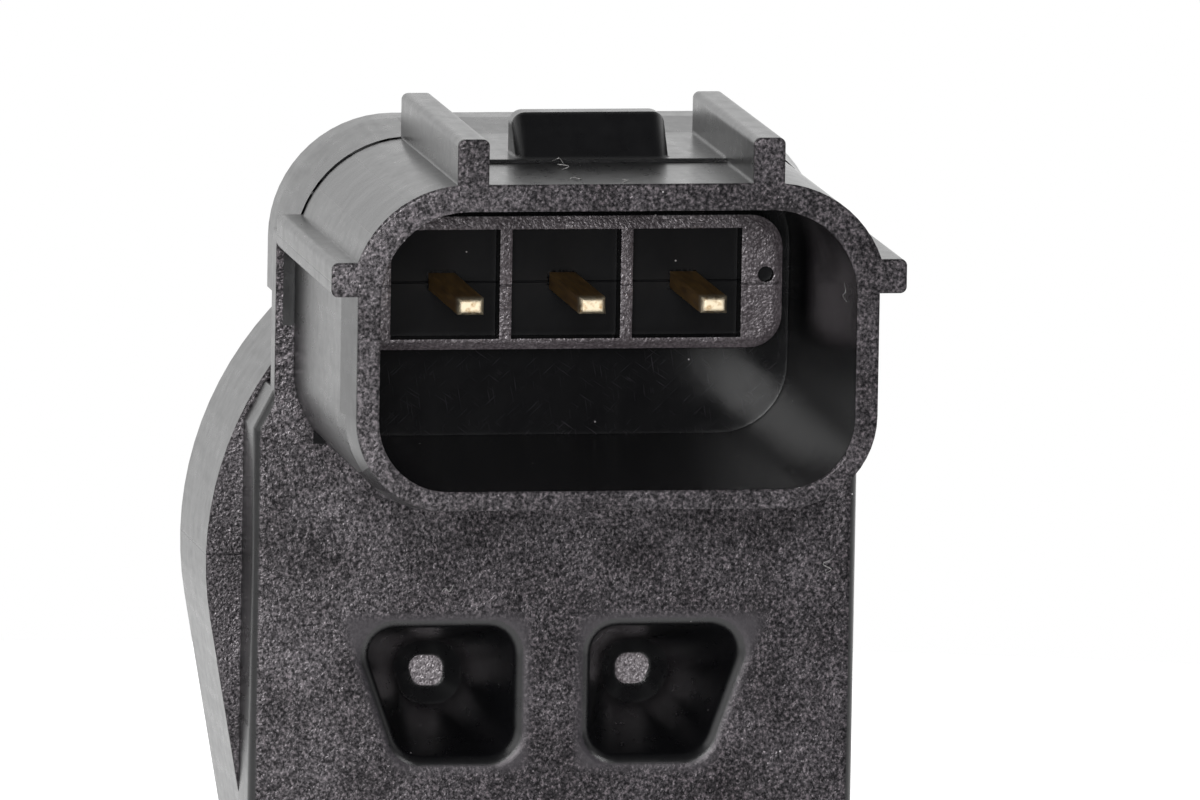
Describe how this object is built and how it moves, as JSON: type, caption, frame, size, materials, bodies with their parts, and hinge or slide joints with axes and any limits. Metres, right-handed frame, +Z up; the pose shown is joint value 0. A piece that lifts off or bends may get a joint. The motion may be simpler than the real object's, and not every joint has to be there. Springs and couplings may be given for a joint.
{
  "type": "camshaft position sensor",
  "caption": "Engine camshaft position sensor: black moulded body with a keyed blade-terminal socket, a bolt ear with steel bushing and a sealed sensing nose.",
  "frame": {"origin": "on the nose axis, in the plane of the flange's mounting face", "axes": "+Z up through the socket, -Y out of the socket's mouth, +Y along the nose into the engine"},
  "size_m": [0.025, 0.0426, 0.0515],
  "materials": {
    "housing_pbt": "moulded black glass-filled PBT, grained faces",
    "seal_rubber": "satin",
    "bushing_steel": "zinc plated",
    "terminal_brass": "tarnished",
    "carrier_plastic": "moulded",
    "chip_epoxy": "moulded epoxy",
    "lead_tin": "tinned",
    "magnet_alloy": "sintered",
    "capacitor_ceramic": "fired ceramic"
  },
  "bodies": {
    "root": {"housing": "housing_pbt", "o_ring": "seal_rubber", "bolt_bushing": "bushing_steel", "terminal_supply": "terminal_brass", "terminal_signal": "terminal_brass", "terminal_ground": "terminal_brass", "element_carrier": "carrier_plastic", "hall_ic": "chip_epoxy", "ic_lead_supply": "lead_tin", "ic_lead_signal": "lead_tin", "ic_lead_ground": "lead_tin", "bias_magnet": "magnet_alloy", "capacitor_supply": "capacitor_ceramic", "capacitor_signal": "capacitor_ceramic"}
  },
  "joints": []
}
